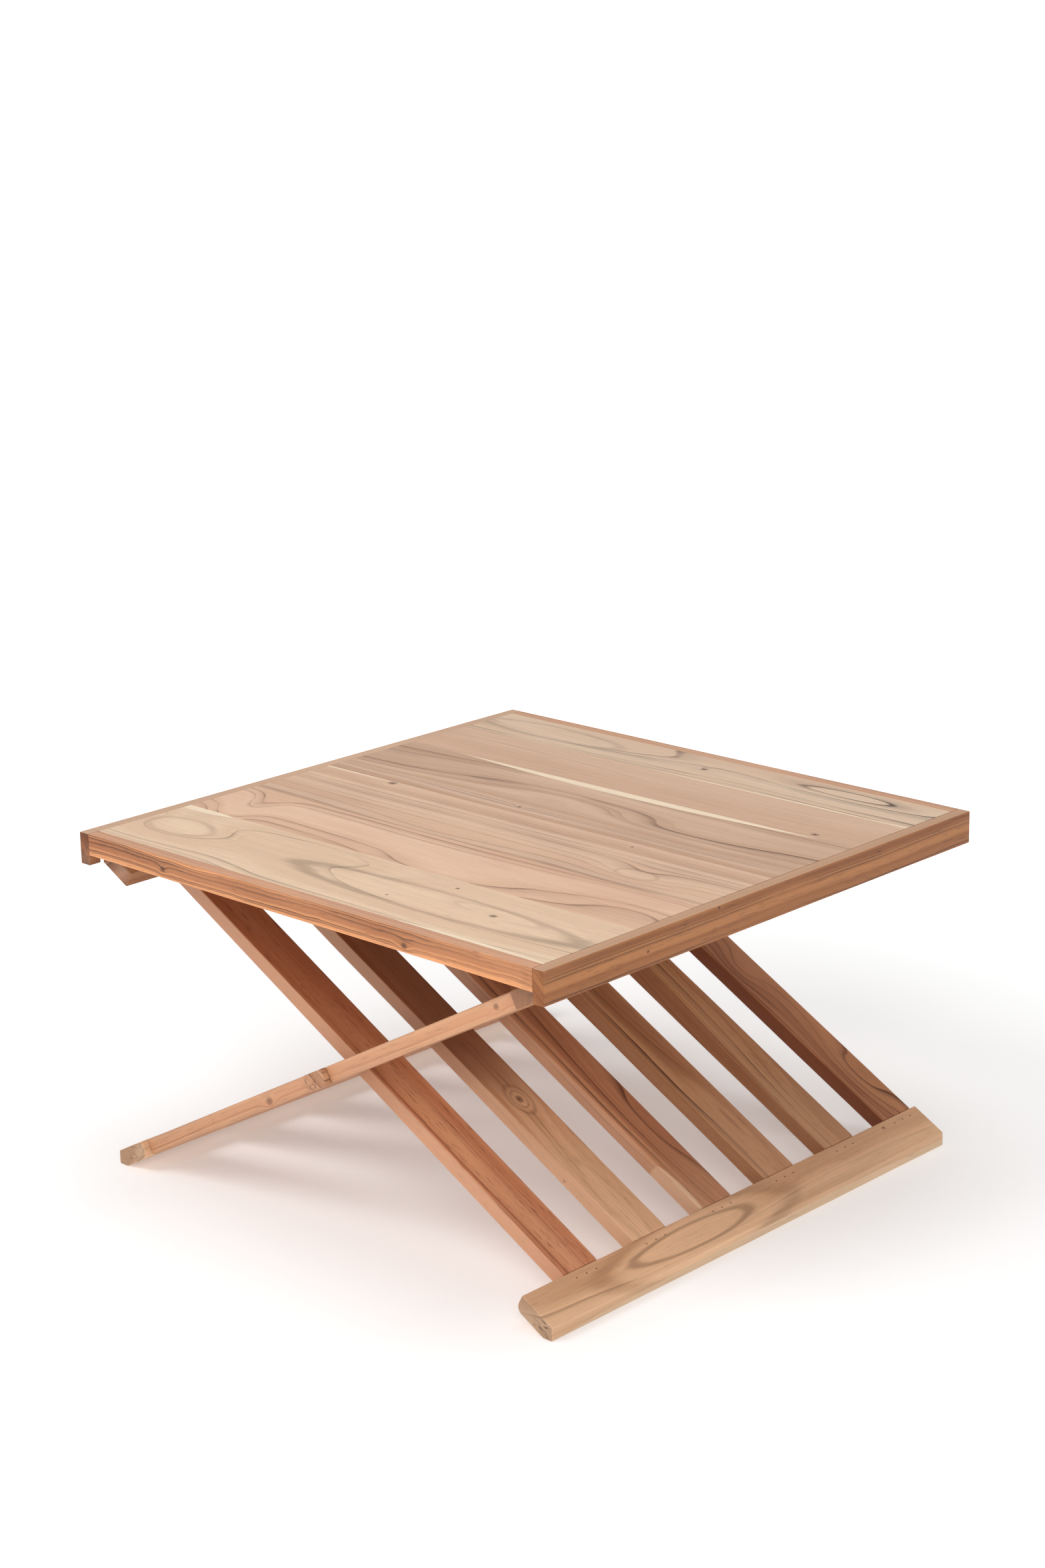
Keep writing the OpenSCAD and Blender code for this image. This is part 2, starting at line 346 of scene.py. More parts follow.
def groove_cutter():
    """Cylinders that clear the hinge knuckles, as one mesh object."""
    low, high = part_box("hinge_pins")
    mesh = bpy.data.meshes.new("groove_cutter")
    bm = bmesh.new()
    for start in (low.y, high.y - HINGE_LENGTH):
        middle = ((low.x + high.x) / 2, start + HINGE_LENGTH / 2, (low.z + high.z) / 2)
        place = Matrix.Translation(middle) @ Matrix.Rotation(math.pi / 2, 4, "X")
        bmesh.ops.create_cone(
            bm, cap_ends=True, segments=GROOVE_SEGMENTS, matrix=place,
            radius1=GROOVE_RADIUS, radius2=GROOVE_RADIUS, depth=HINGE_LENGTH + GROOVE_EXCESS,
        )
    bm.to_mesh(mesh)
    bm.free()
    return placed("groove_cutter", mesh)


def carve(piece, cutter):
    """Cuts the cutter out of a piece and keeps the result as its mesh."""
    cut = piece.modifiers.new("groove", "BOOLEAN")
    cut.object = cutter
    cut.solver = "EXACT"
    bpy.context.view_layer.update()
    carved = piece.evaluated_get(bpy.context.evaluated_depsgraph_get())
    piece.data = bpy.data.meshes.new_from_object(carved)
    piece.modifiers.remove(cut)


def placed(name, data):
    """A new object in the scene."""
    obj = bpy.data.objects.new(name, data)
    bpy.context.collection.objects.link(obj)
    return obj


def plank(node, look, seed):
    """A plank object in the place of a wooden CAD node."""
    source = frame["nodes"][node].data
    low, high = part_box(node)
    centre = (low + high) / 2
    axes = plank_axes(node, source, centre)
    points = local_points(source, axes, centre)
    middle = Vector([sum(limits(points, k)) / 2 for k in range(3)])
    if "board" in node:  # the tongue along its edge is left out
        middle.y = sum(limits(on_faces(points), 1)) / 2
    points = [p - middle for p in points]
    sections = plank_sections(node, points, look)
    if node == "left_end_batten":
        sections = relieved(sections[0], *batten_relief(points))
    piece = placed(node + "_plank", loft(node + "_plank", sections, seed))
    piece.matrix_world = Matrix.Translation(centre + axes @ middle) @ axes.to_4x4()
    return piece


# ---- Material nodes ----

SEED_SPREAD = 13.37  # keeps the chances of two seeds apart


def colour(red, green, blue):
    """Linear colour from a swatch in sRGB, 0 to 255."""
    parts = []
    for value in (red, green, blue):
        share = value / 255
        parts.append(share / 12.92 if share <= 0.04045 else ((share + 0.055) / 1.055) ** 2.4)
    return (*parts, 1.0)


class Tree:
    """Short calls for one material's nodes. Each call gives the node's output."""

    def __init__(self, name):
        self.material = bpy.data.materials.new(name)
        self.material.use_nodes = True
        self.nodes = self.material.node_tree.nodes
        self.links = self.material.node_tree.links
        self.shader = self.nodes["Principled BSDF"]

    def feed(self, socket, value):
        """Links an output to a socket, or sets a constant on it."""
        if isinstance(value, bpy.types.NodeSocket):
            self.links.new(value, socket)
        else:
            socket.default_value = value

    def shade(self, **values):
        """Feeds the shader's sockets, named with _ for each space."""
        for key, value in values.items():
            self.feed(self.shader.inputs[key.replace("_", " ")], value)

    def math(self, operation, *values):
        node = self.nodes.new("ShaderNodeMath")
        node.operation = operation
        for socket, value in zip(node.inputs, values):
            self.feed(socket, value)
        return node.outputs[0]

    def add(self, a, b):
        return self.math("ADD", a, b)

    def multiply(self, a, b):
        return self.math("MULTIPLY", a, b)

    def absolute(self, value):
        return self.math("ABSOLUTE", value)

    def total(self, *values):
        result = values[0]
        for value in values[1:]:
            result = self.add(result, value)
        return result

    def vector(self, x, y, z):
        node = self.nodes.new("ShaderNodeCombineXYZ")
        for socket, value in zip(node.inputs, (x, y, z)):
            self.feed(socket, value)
        return node.outputs[0]

    def split(self, vector):
        node = self.nodes.new("ShaderNodeSeparateXYZ")
        self.feed(node.inputs[0], vector)
        return node.outputs

    def noise(self, place, detail=2.0, dimensions="3D"):
        """Noise around 0.5 over a point, or along a line if it has one dimension."""
        node = self.nodes.new("ShaderNodeTexNoise")
        node.noise_dimensions = dimensions
        self.feed(node.inputs["W" if dimensions == "1D" else "Vector"], place)
        node.inputs["Scale"].default_value = 1.0
        node.inputs["Detail"].default_value = detail
        return node.outputs[0]

    def swing(self, value, size):
        """A noise turned into a swing of that size around 0."""
        return self.multiply(self.math("SUBTRACT", value, 0.5), size)

    def chance(self, number, seed):
        """A number from 0 to 1 that belongs to a whole number."""
        node = self.nodes.new("ShaderNodeTexWhiteNoise")
        node.noise_dimensions = "1D"
        self.feed(node.inputs["W"], self.add(number, seed * SEED_SPREAD))
        return node.outputs["Value"]

    def ramp(self, value, low, high, to_low=0.0, to_high=1.0):
        """Smooth step from to_low at low to to_high at high."""
        node = self.nodes.new("ShaderNodeMapRange")
        node.interpolation_type = "SMOOTHSTEP"
        keys = ("Value", "From Min", "From Max", "To Min", "To Max")
        for key, setting in zip(keys, (value, low, high, to_low, to_high)):
            self.feed(node.inputs[key], setting)
        return node.outputs[0]

    def blend(self, share, one, two, mode="MIX"):
        """A share of colour two over colour one."""
        node = self.nodes.new("ShaderNodeMix")
        node.data_type = "RGBA"
        node.blend_type = mode
        self.feed(node.inputs["Factor"], share)
        self.feed(node.inputs[6], one)
        self.feed(node.inputs[7], two)
        return node.outputs[2]

    def bump(self, height, distance, strength):
        node = self.nodes.new("ShaderNodeBump")
        node.inputs["Distance"].default_value = distance
        node.inputs["Strength"].default_value = strength
        self.feed(node.inputs["Height"], height)
        return node.outputs[0]


# ---- Wood ----

# Frequencies of noises along and across the grain, per metre
RIPPLE_ACROSS = 70
PATCHES = (5, 18)
CLOUDS = (3.0, 11)
FIBRES = (9, 420)
PORES = (45, 1000)
CHECKS = (55, 160)  # on end grain, along and across the broad face

# What keeps the noises of one plank apart
PATCH_SEEDS, CLOUD_SEEDS, DRIFT_SEEDS, BROAD_SEEDS = 2, 5, 1.7, 4.1
LINE_SEED = 9

# Bends and rings
BEND_SQUEEZE = 4  # how much closer the bends lie across the grain than along it
BEND_DETAIL = 2.5
PUSH_LENGTH, PUSH_WIDTH = 2.6, 1.9  # of the bend around a knot, in sizes of the knot
RING_DRIFT = 3.0  # how far unevenness moves the rings, in rings
DRIFT_SIZE, BROAD_SIZE = 0.45, 0.35  # frequencies of the drift and of the broad bands, per ring
BROAD_BAND = (0.35, 0.65)
BROAD_TONE, OWN_TONE = 0.7, 0.3  # shares of the broad bands and of each ring in its tone
LINE_CHANCE = (0.15, 0.75)
LINE_PATCH = (0.34, 0.55, 0.3, 1.0)
LINE_PEAK, LINE_END = 0.95, 0.96  # of a ring's width, where its line is darkest
FADE_START = 0.2  # of a ring's width

# Layers over the rings. Steps are given as for ramp()
OVAL_WOBBLE = 0.16
OVAL_INSIDE = (0.45, 0.65, 0.0, 0.6)
OVAL_EDGE = 0.42  # height of the hill at an oval's rim
RIM_WIDTH = (0.015, 0.13)
CLOUD_EDGE = (0.42, 0.68)
SAP_WOBBLE = 2 * MM
SAP_EDGE = (-0.2 * MM, 0.9 * MM)
SAP_SHARE = 0.9
KNOT_LENGTH = 1.35  # in sizes of the knot
KNOT_WOBBLE = 0.35
KNOT_RING = (0.3, 0.75, 0.0, 0.6)
KNOT_HEART = (0.86, 1.0, 0.0, 0.8)
FIBRE_EDGE = (0.3, 0.7)
FIBRE_LIGHT = 0.6  # of how much the fibres darken, what they lighten
PORE_EDGE = (0.60, 0.72)

# Faces and surface
FACING = (0.6, 0.9)  # parts of a normal along an axis, from none to all of a face's look
END_SHARE = 0.85
CRACK_WIDTH = 0.035
CRACK_PATCH = (0.45, 0.6)
CRACK_SHARE = 0.7
ROUGHNESS, TONE_ROUGH, FIBRE_ROUGH, END_ROUGH = 0.44, 0.05, 0.10, 0.12
FIBRE_RELIEF, PORE_RELIEF, LINE_RELIEF, CRACK_RELIEF = 0.5, -0.8, -0.5, -4.0
RELIEF, RELIEF_STRENGTH = 0.12 * MM, 0.6
OIL_GLOSS = 0.35


class Wood(Tree):
    """Solid wood, painted in layers: the growth lines are level lines of a height field."""

    def __init__(self, name, look, seed):
        super().__init__(name)
        self.look, self.seed = look, seed
        coordinates = self.nodes.new("ShaderNodeTexCoord")
        self.x, self.y, self.z = self.split(coordinates.outputs["Object"])
        normal = self.split(coordinates.outputs["Normal"])
        self.end = self.ramp(self.absolute(normal[0]), *FACING)
        self.side = self.ramp(self.absolute(normal[1]), *FACING)
        self.knots = [(self.y, knot) for knot in look["knots"]]
        self.knots += [(self.z, knot) for knot in look["side_knots"]]
        self.fine = self.grain((look["ripple_size"], RIPPLE_ACROSS), seed)
        self.patches = self.grain(PATCHES, seed * PATCH_SEEDS)
        self.paint_rings()
        self.paint_ovals()
        self.paint_tones()
        self.paint_sapwood()
        self.paint_knots()
        self.paint_fibres()
        self.paint_ends()
        self.finish()

    def grain(self, sizes, seed, detail=2.0):
        """Noise drawn out along the grain."""
        along, across = sizes
        place = self.vector(self.add(self.multiply(self.x, along), seed),
            self.multiply(self.y, across), self.multiply(self.z, across))
        return self.noise(place, detail)

    def hump(self, across, eye):
        """A smooth hill around an eye of the wood, 1 at its middle."""
        x0, y0, length, width = eye
        wide = self.multiply(self.math("SUBTRACT", across, y0 * MM), 1 / (width * MM))
        along = self.multiply(self.math("SUBTRACT", self.x, x0 * MM), 1 / (length * MM))
        square = self.add(self.multiply(wide, wide), self.multiply(along, along))
        return self.math("EXPONENT", self.multiply(square, -1.0))

    def paint(self, share, tint):
        self.base = self.blend(share, self.base, tint)

    def growth_field(self):
        """Height over the plank, with slow bends of the fibres, its eyes and its knots."""
        look = self.look
        size = look["bend_size"]
        slow = self.grain((size, size * BEND_SQUEEZE), self.seed, BEND_DETAIL)
        bend = self.add(self.swing(slow, look["bend"] * MM),
            self.swing(self.fine, look["ripple"] * MM))
        field = self.total(self.multiply(self.y, look["across"]),
            self.multiply(self.z, look["through"]), bend)
        for *eye, height in look["eyes"]:
            field = self.add(field, self.multiply(self.hump(self.y, eye), height * MM))
        for across, (x0, y0, size) in self.knots:
            push = self.hump(across, (x0, y0, size * PUSH_LENGTH, size * PUSH_WIDTH))
            field = self.add(field, self.multiply(push, size * look["knot_push"] * MM))
        return field

    def paint_rings(self):
        """Growth rings of uneven width, each darkening to one side and ending in a crisp line."""
        look, seed = self.look, self.seed
        field = self.growth_field()
        even = self.multiply(field, look["density"])
        place = self.add(self.multiply(even, DRIFT_SIZE), seed * DRIFT_SEEDS)
        drift = self.noise(place, detail=1.0, dimensions="1D")
        rings = self.add(even, self.multiply(drift, RING_DRIFT))
        ring, share = self.math("FLOOR", rings), self.math("FRACT", rings)

        slow = self.multiply(field, look["density"] * BROAD_SIZE)
        broad = self.noise(self.add(slow, seed * BROAD_SEEDS), dimensions="1D")
        own = self.multiply(self.chance(ring, seed), OWN_TONE)
        tone = self.add(self.ramp(broad, *BROAD_BAND, 0.0, BROAD_TONE), own)
        self.tone = self.math("MINIMUM", tone, 1.0)
        self.base = self.blend(self.multiply(self.tone, look["bands"]), look["light"], look["dark"])

        strong = self.ramp(self.chance(ring, seed + LINE_SEED), *LINE_CHANCE)
        strength = self.multiply(strong, self.ramp(self.patches, *LINE_PATCH))
        line = self.multiply(self.ramp(share, 1 - look["line_width"], LINE_PEAK),
            self.ramp(share, LINE_END, 1.0, 1.0, 0.0))
        self.lines = self.multiply(line, strength)
        fade = self.multiply(self.ramp(share, FADE_START, 1.0, 0.0, look["fade"]), strength)
        dark = self.math("MAXIMUM", self.lines, fade)
        self.paint(self.multiply(dark, look["lines"]), look["line"])

    def paint_ovals(self):
        """Ovals where the cut runs out of a layer: pale inside, with one brown edge."""
        for *oval, strength in self.look["ovals"]:
            hill = self.add(self.hump(self.y, oval), self.swing(self.fine, OVAL_WOBBLE))
            self.paint(self.ramp(hill, *OVAL_INSIDE), self.look["light"])
            off = self.absolute(self.math("SUBTRACT", hill, OVAL_EDGE))
            self.paint(self.ramp(off, *RIM_WIDTH, strength, 0.0), self.look["line"])

    def paint_tones(self):
        """Large soft patches of another tone, and painted shade and painted light along the plank.
        """
        clouds = self.ramp(self.grain(CLOUDS, self.seed * CLOUD_SEEDS), *CLOUD_EDGE)
        self.paint(self.multiply(clouds, self.look["cloud_share"]), self.look["cloud"])
        # Painted shade and painted light: a tint faded in along x, darker towards a crossing slat's
        # upper end under the top and lighter towards its foot.
        for start, stop, tint, share in self.look["painted_light_and_shade"]:
            self.paint(self.ramp(self.x, start * MM, stop * MM, 0.0, share), tint)

    def paint_sapwood(self):
        """Sapwood along an edge or a glue line, tapered to both ends."""
        for x0, length, edge, thick in self.look["sap"]:
            along = self.multiply(self.math("SUBTRACT", self.x, x0 * MM), 1 / (length * MM))
            taper = self.math("SUBTRACT", 1.0, self.multiply(along, along))
            off = self.absolute(self.math("SUBTRACT", self.y, edge * MM))
            depth = self.math("SUBTRACT", self.multiply(taper, thick * MM), off)
            depth = self.add(depth, self.swing(self.fine, SAP_WOBBLE))
            share = self.multiply(self.ramp(depth, *SAP_EDGE), SAP_SHARE)
            self.paint(share, self.look["sapwood"])

    def paint_knots(self):
        """Knots: a dark ring around a darker heart."""
        for across, (x0, y0, size) in self.knots:
            hill = self.hump(across, (x0, y0, size * KNOT_LENGTH, size))
            hill = self.add(hill, self.swing(self.fine, KNOT_WOBBLE))
            self.paint(self.ramp(hill, *KNOT_RING), self.look["line"])
            self.paint(self.ramp(hill, *KNOT_HEART), DARK_HEART)

    def paint_fibres(self):
        """Fibres and open pores."""
        fibre = self.look["fibre"]
        self.fibres = self.grain(FIBRES, self.seed, detail=3)
        tone = self.ramp(self.fibres, *FIBRE_EDGE, 1.0 - fibre, 1.0 + fibre * FIBRE_LIGHT)
        self.base = self.blend(1.0, self.base, self.vector(tone, tone, tone), mode="MULTIPLY")
        self.pore = self.ramp(self.grain(PORES, self.seed), *PORE_EDGE)
        self.paint(self.multiply(self.pore, self.look["pores"]), self.look["line"])

    def paint_ends(self):
        """Narrow sides in a tone of their own, paler on most planks and darker as painted shade on
        crossing slats 4 to 6, and sawn ends that drink more oil, look darker and have cracks.
        """
        look = self.look
        self.paint(self.multiply(self.side, look["side_share"]), look["side"])
        oiled = self.blend(1.0, self.base, look["end"], mode="MULTIPLY")
        self.paint(self.multiply(self.end, END_SHARE), oiled)
        checks = self.noise(self.vector(self.seed, self.multiply(self.y, CHECKS[0]),
            self.multiply(self.z, CHECKS[1])), detail=1.0)
        off = self.absolute(self.math("SUBTRACT", checks, 0.5))
        crack = self.ramp(off, 0.0, CRACK_WIDTH, 1.0, 0.0)
        patchy = self.ramp(self.patches, *CRACK_PATCH)
        self.crack = self.multiply(self.multiply(crack, self.end), patchy)
        self.paint(self.multiply(self.crack, CRACK_SHARE), DARK_HEART)

    def finish(self):
        """Satin oil, duller on end grain, over fibres that can be felt."""
        dull = self.total(self.multiply(self.tone, TONE_ROUGH),
            self.multiply(self.fibres, FIBRE_ROUGH), self.multiply(self.end, END_ROUGH), ROUGHNESS)
        height = self.total(
            self.multiply(self.fibres, FIBRE_RELIEF), self.multiply(self.pore, PORE_RELIEF),
            self.multiply(self.lines, LINE_RELIEF), self.multiply(self.crack, CRACK_RELIEF))
        self.shade(Base_Color=self.base, Roughness=dull, Specular_IOR_Level=OIL_GLOSS,
            Normal=self.bump(height, RELIEF, RELIEF_STRENGTH))


# ---- Metal ----

SPOT_SIZE = 160  # dull spots, per metre
SPOT_EDGE = (0.5, 0.75)
SPOT_SHARE = 0.6
SPOT_ROUGH, STREAK_ROUGH = 0.2, 0.2
METAL_DETAIL = 3
METAL_RELIEF, METAL_RELIEF_STRENGTH = 0.03 * MM, 0.5
STREAK_ACROSS, STREAK_ALONG = 4, 0.3  # of a metal's grain size
DULL = colour(104, 96, 88)

METALS = {  # tint, metallic, roughness, grain size per metre
    "zinc_steel": (colour(176, 174, 168), 1.0, 0.24, 300),
    "screw_steel": (colour(150, 146, 138), 1.0, 0.3, 500),
    "axle_steel": (colour(132, 130, 128), 1.0, 0.28, 260),
    "nail_iron": (colour(58, 44, 36), 0.5, 0.5, 500),
}
FINISHES = {
    "leaves": "zinc_steel", "pins": "zinc_steel", "washers": "zinc_steel",
    "screws": "screw_steel", "rod": "axle_steel", "brads": "nail_iron",
}


def metal(name):
    """Plain or aged steel with fine rubbed streaks and dull spots."""
    tint, metallic, rough, grain_size = METALS[name]
    t = Tree(name)
    coordinates = t.nodes.new("ShaderNodeTexCoord")
    x, y, z = t.split(coordinates.outputs["Object"])
    across, along = grain_size * STREAK_ACROSS, grain_size * STREAK_ALONG
    drawn = t.vector(t.multiply(x, across), t.multiply(y, along), t.multiply(z, across))
    streaks = t.noise(drawn, METAL_DETAIL)
    spots = t.noise(t.vector(*(t.multiply(one, SPOT_SIZE) for one in (x, y, z))), METAL_DETAIL)
    worn = t.total(t.multiply(streaks, STREAK_ROUGH),
        t.ramp(spots, *SPOT_EDGE, 0.0, SPOT_ROUGH), rough)
    t.shade(Base_Color=t.blend(t.ramp(spots, *SPOT_EDGE, 0.0, SPOT_SHARE), tint, DULL),
        Metallic=metallic, Roughness=worn,
        Normal=t.bump(t.add(streaks, spots), METAL_RELIEF, METAL_RELIEF_STRENGTH))
    return t.material


# ---- Looks ----

CREAM = colour(236, 216, 188)
DARK_HEART = colour(74, 44, 30)
SEPIA = colour(112, 78, 56)
TAN_END = (0.62, 0.58, 0.56, 1.0)

# Places and lengths are in millimetres from the plank's middle.
# eyes: x, y, length, width, height. ovals: x, y, length, width, strength of the rim.
# knots: x, y, size. side_knots: x, z, size. sap: x, half length, y, thickness.
# Painted shade and light along x: from x, to x, tint, share.
PLAIN = {
    "light": colour(214, 178, 146), "dark": colour(200, 160, 128), "line": SEPIA,
    "cloud": colour(226, 190, 160), "cloud_share": 0.35, "painted_light_and_shade": [], "sapwood": CREAM,
    "side": colour(216, 170, 138), "side_share": 0.0, "end": TAN_END, "bend": 14, "bend_size": 2.2,
    "ripple": 1.2, "ripple_size": 14, "across": 1.0, "through": 0.6, "density": 110, "bands": 0.7,
    "lines": 0.5, "line_width": 0.22, "fade": 0.35, "fibre": 0.07, "pores": 0.25, "eyes": [],
    "ovals": [], "knots": [], "side_knots": [], "knot_push": 2.0, "sap": [], "ease": 1.0,
    "wobble": 0.08,
}


def plain_with(**changes):
    """The plain look with changes."""
    return {**PLAIN, **changes}


BOARD = {"ease": 0.25, "wobble": 0.0}
LOOKS = {
    "top_board_1": plain_with(
        **BOARD, light=colour(226, 198, 168), dark=colour(208, 174, 144), line=colour(98, 76, 62),
        cloud=colour(216, 180, 152), across=0.4, bend=30, bend_size=2.4, density=75, lines=0.95,
        line_width=0.2,
        eyes=[(205, 4, 235, 46, 46), (-283, 4, 64, 36, 40), (-352, 12, 30, 24, -24),
            (-110, 36, 120, 30, -18)],
        ovals=[(-283, 4, 52, 27, 0.2), (125, -2, 215, 32, 0.4)],
        knots=[(203, 5, 4.5), (112, 46, 2.5), (70, -16, 2)],
        sap=[(-320, 60, 63, 8), (250, 120, -66, 5)],
    ),
    "top_board_2": plain_with(
        **BOARD, light=colour(224, 188, 160), dark=colour(200, 158, 128), line=colour(120, 82, 62),
        cloud=colour(198, 150, 124), across=0.8, bend=26, bend_size=2.0, density=60, lines=0.75,
        eyes=[(-282, -20, 30, 62, 36), (60, -45, 110, 26, 26), (300, -5, 90, 30, -26)],
    ),
    "top_board_3": plain_with(
        **BOARD, light=colour(212, 178, 150), dark=colour(192, 152, 125), line=colour(112, 76, 58),
        density=130, lines=0.75, bend=12, ripple=1.6,
        eyes=[(223, -22, 60, 26, 22), (-60, -48, 130, 16, 12)], ovals=[(223, -22, 30, 14, 0.25)],
        knots=[(-226, 55, 6), (155, 48, 2.5)], sap=[(-345, 190, 60, 3.5)],
    ),
    "top_board_4": plain_with(
        **BOARD, light=colour(210, 176, 150), dark=colour(176, 136, 108), line=colour(92, 62, 46),
        cloud=colour(172, 134, 108), across=0.9, bend=28, bend_size=2.6, density=105, lines=0.9,
        eyes=[(-345, 2, 190, 40, 30), (-10, 5, 120, 24, -22), (150, -5, 130, 22, 20)],
        knots=[(-45, -50, 3)], sap=[(20, 275, 70, 14)],
    ),
    "top_board_5": plain_with(
        **BOARD, light=colour(212, 177, 150), dark=colour(196, 158, 130), line=colour(116, 84, 66),
        cloud=colour(194, 156, 130), across=0.7, bend=24, density=55, lines=0.7,
        eyes=[(140, 16, 170, 16, 14)], knots=[(278, -36, 4.5)],
    ),
    "top_board_6": plain_with(
        **BOARD, light=colour(218, 191, 165), dark=colour(198, 165, 138), line=colour(88, 72, 60),
        cloud=colour(204, 166, 138), across=0.45, bend=22, bend_size=1.9, density=70, lines=1.0,
        line_width=0.2, eyes=[(-200, 8, 180, 32, 40), (215, 12, 160, 24, 24)],
        ovals=[(-235, 4, 120, 26, 0.22)], knots=[(16, -2, 4)], sap=[(250, 320, -42, 3.5)],
    ),
    "front_rail": plain_with(
        light=colour(228, 156, 100), dark=colour(118, 60, 28), line=colour(54, 20, 8),
        cloud=colour(222, 158, 112), density=170, bands=1.0, lines=1.0, line_width=0.5, fade=0.8,
        bend=18, bend_size=3.4, ripple=4.5, ripple_size=24, through=-0.9, knot_push=1.2,
        knots=[(-212, -2, 3.5), (163, -5, 4)], pores=0.5, end=(0.6, 0.52, 0.48, 1.0),
        side=colour(200, 156, 130), side_share=0.65,
    ),
    "back_rail": plain_with(
        light=colour(208, 156, 118), dark=colour(170, 116, 82), line=colour(92, 50, 32),
        density=150, bands=1.0, lines=0.9, line_width=0.3, fade=0.5, bend=12, through=-0.9,
        side=colour(198, 156, 128), side_share=0.5,
    ),
    "right_end_batten": plain_with(
        light=colour(184, 124, 74), dark=colour(134, 78, 38), line=colour(52, 26, 12),
        cloud=colour(166, 110, 70), density=130, bands=1.0, lines=0.95, line_width=0.35, fade=0.5,
        bend=16, bend_size=1.6, through=0.9, pores=0.5, side=colour(198, 160, 130), side_share=0.7,
        end=(0.78, 0.7, 0.62, 1.0), knot_push=1.0, knots=[(-88, 16, 2), (-198, -2, 2)],
    ),
    "left_end_batten": plain_with(
        light=colour(156, 94, 48), dark=colour(118, 64, 28), line=colour(60, 30, 16), density=130,
        bands=1.0, lines=0.95, fade=0.5, bend=13, through=0.9, side=colour(214, 180, 152),
        side_share=0.7, end=(0.6, 0.52, 0.44, 1.0),
    ),
    "hinged_slat": plain_with(
        light=colour(212, 162, 124), dark=colour(186, 128, 90), line=colour(92, 46, 28),
        cloud=colour(194, 136, 102), density=120, bands=0.9, lines=0.9, line_width=0.3, fade=0.5,
        bend=18, through=1.5, ease=2.0, wobble=0.25, side=colour(202, 156, 122), side_share=0.15,
        pores=0.4, side_knots=[(-96, -2, 5.5), (302, 1, 4)],
    ),
    "crossing_slat": plain_with(
        light=colour(208, 156, 120), dark=colour(164, 104, 70), line=colour(74, 36, 20),
        cloud=colour(192, 134, 100), density=100, bands=0.9, lines=0.85, line_width=0.35, fade=0.55,
        bend=24, ease=1.8, wobble=0.25, pores=0.4, side=colour(200, 154, 122), side_share=0.6,
    ),
    "foot_bar": plain_with(
        light=colour(238, 194, 154), dark=colour(196, 146, 106), line=colour(112, 70, 44),
        cloud=colour(220, 178, 144), across=0.5, bend=13, bend_size=2.4, density=60, bands=0.9,
        lines=0.5, line_width=0.4, fade=0.5, ease=1.3, foot_ease=40.0, wobble=0.2,
        end=(0.56, 0.57, 0.6, 1.0), sapwood=colour(222, 190, 156),
    ),
    "top_bar": plain_with(
        light=colour(190, 140, 104), dark=colour(156, 104, 70), line=colour(82, 46, 28),
        density=100, bands=0.9, lines=0.8, line_width=0.3, fade=0.5, bend=14, ease=1.6, wobble=0.2,
        end=(0.6, 0.58, 0.6, 1.0),
    ),
    "pivot_block": plain_with(
        light=colour(206, 158, 122), dark=colour(176, 122, 88), line=colour(86, 48, 30),
        density=240, bands=0.9, lines=0.9, bend=5, ease=1.4, wobble=0.1,
        end=(0.86, 0.84, 0.84, 1.0),
    ),
    "dowels": plain_with(density=200),
}
CROSSING = {  # what each slat of the crossing leg changes
    1: {
        "light": colour(220, 158, 118), "dark": colour(190, 118, 80), "cloud": colour(174, 100, 68),
        "cloud_share": 0.6, "line": colour(90, 34, 22), "lines": 0.6, "pores": 0.9,
        # Painted shade: darker towards the slat's upper end, under the top.
        "painted_light_and_shade": [(120, -40, colour(138, 74, 42), 0.65)],
    },
    2: {
        "light": colour(228, 178, 138), "dark": colour(186, 122, 82), "lines": 0.7,
        "knots": [(123, 0, 5)],
        "ovals": [(123, 0, 24, 14, 0.4), (123, 0, 14, 9, 0.4), (285, -4, 70, 14, 0.3)],
        "eyes": [(290, 0, 100, 30, 30), (190, 26, 40, 20, 14)], "cloud": colour(230, 190, 154),
        "cloud_share": 0.5, "side_knots": [(231, -3, 2)],
        # Painted light towards the slat's foot and painted shade towards its upper end under the
        # top.
        "painted_light_and_shade": [(120, 240, colour(238, 194, 154), 0.6), (180, 20, colour(120, 64, 32), 0.85)],
    },
    3: {
        "light": colour(208, 150, 112), "dark": colour(158, 96, 64), "lines": 1.0,
        "line_width": 0.45, "eyes": [(220, 6, 120, 18, 20)], "sap": [(308, 46, -26, 6)],
        # The tint along x is painted light towards the slat's foot.
        "sapwood": colour(230, 194, 162), "painted_light_and_shade": [(230, 320, colour(200, 148, 112), 0.4)],
    },
    4: {
        "light": colour(206, 156, 116), "dark": colour(156, 102, 64), "lines": 1.0,
        # The dark side tint is painted shade between the slats.
        "line_width": 0.4, "side": colour(134, 82, 40), "eyes": [(260, 10, 120, 16, -24)],
        # The tint along x is painted light towards the slat's foot.
        "painted_light_and_shade": [(170, 280, colour(214, 166, 128), 0.5)],
    },
    5: {
        "light": colour(206, 156, 114), "dark": colour(160, 106, 68), "lines": 0.95,
        # The dark side tint is painted shade between the slats.
        "side": colour(136, 82, 42), "eyes": [(330, 0, 160, 20, 20)],
        # The tint along x is painted light towards the slat's foot.
        "painted_light_and_shade": [(190, 280, colour(214, 168, 130), 0.4)],
    },
    6: {
        "light": colour(188, 130, 90), "dark": colour(150, 92, 60), "lines": 0.9,
        # The dark side tint and its large share are painted shade between the slats.
        "side": colour(106, 48, 14), "side_share": 0.85,
        "eyes": [(75, 0, 30, 18, 20), (265, 4, 60, 20, 26)],
    },
}
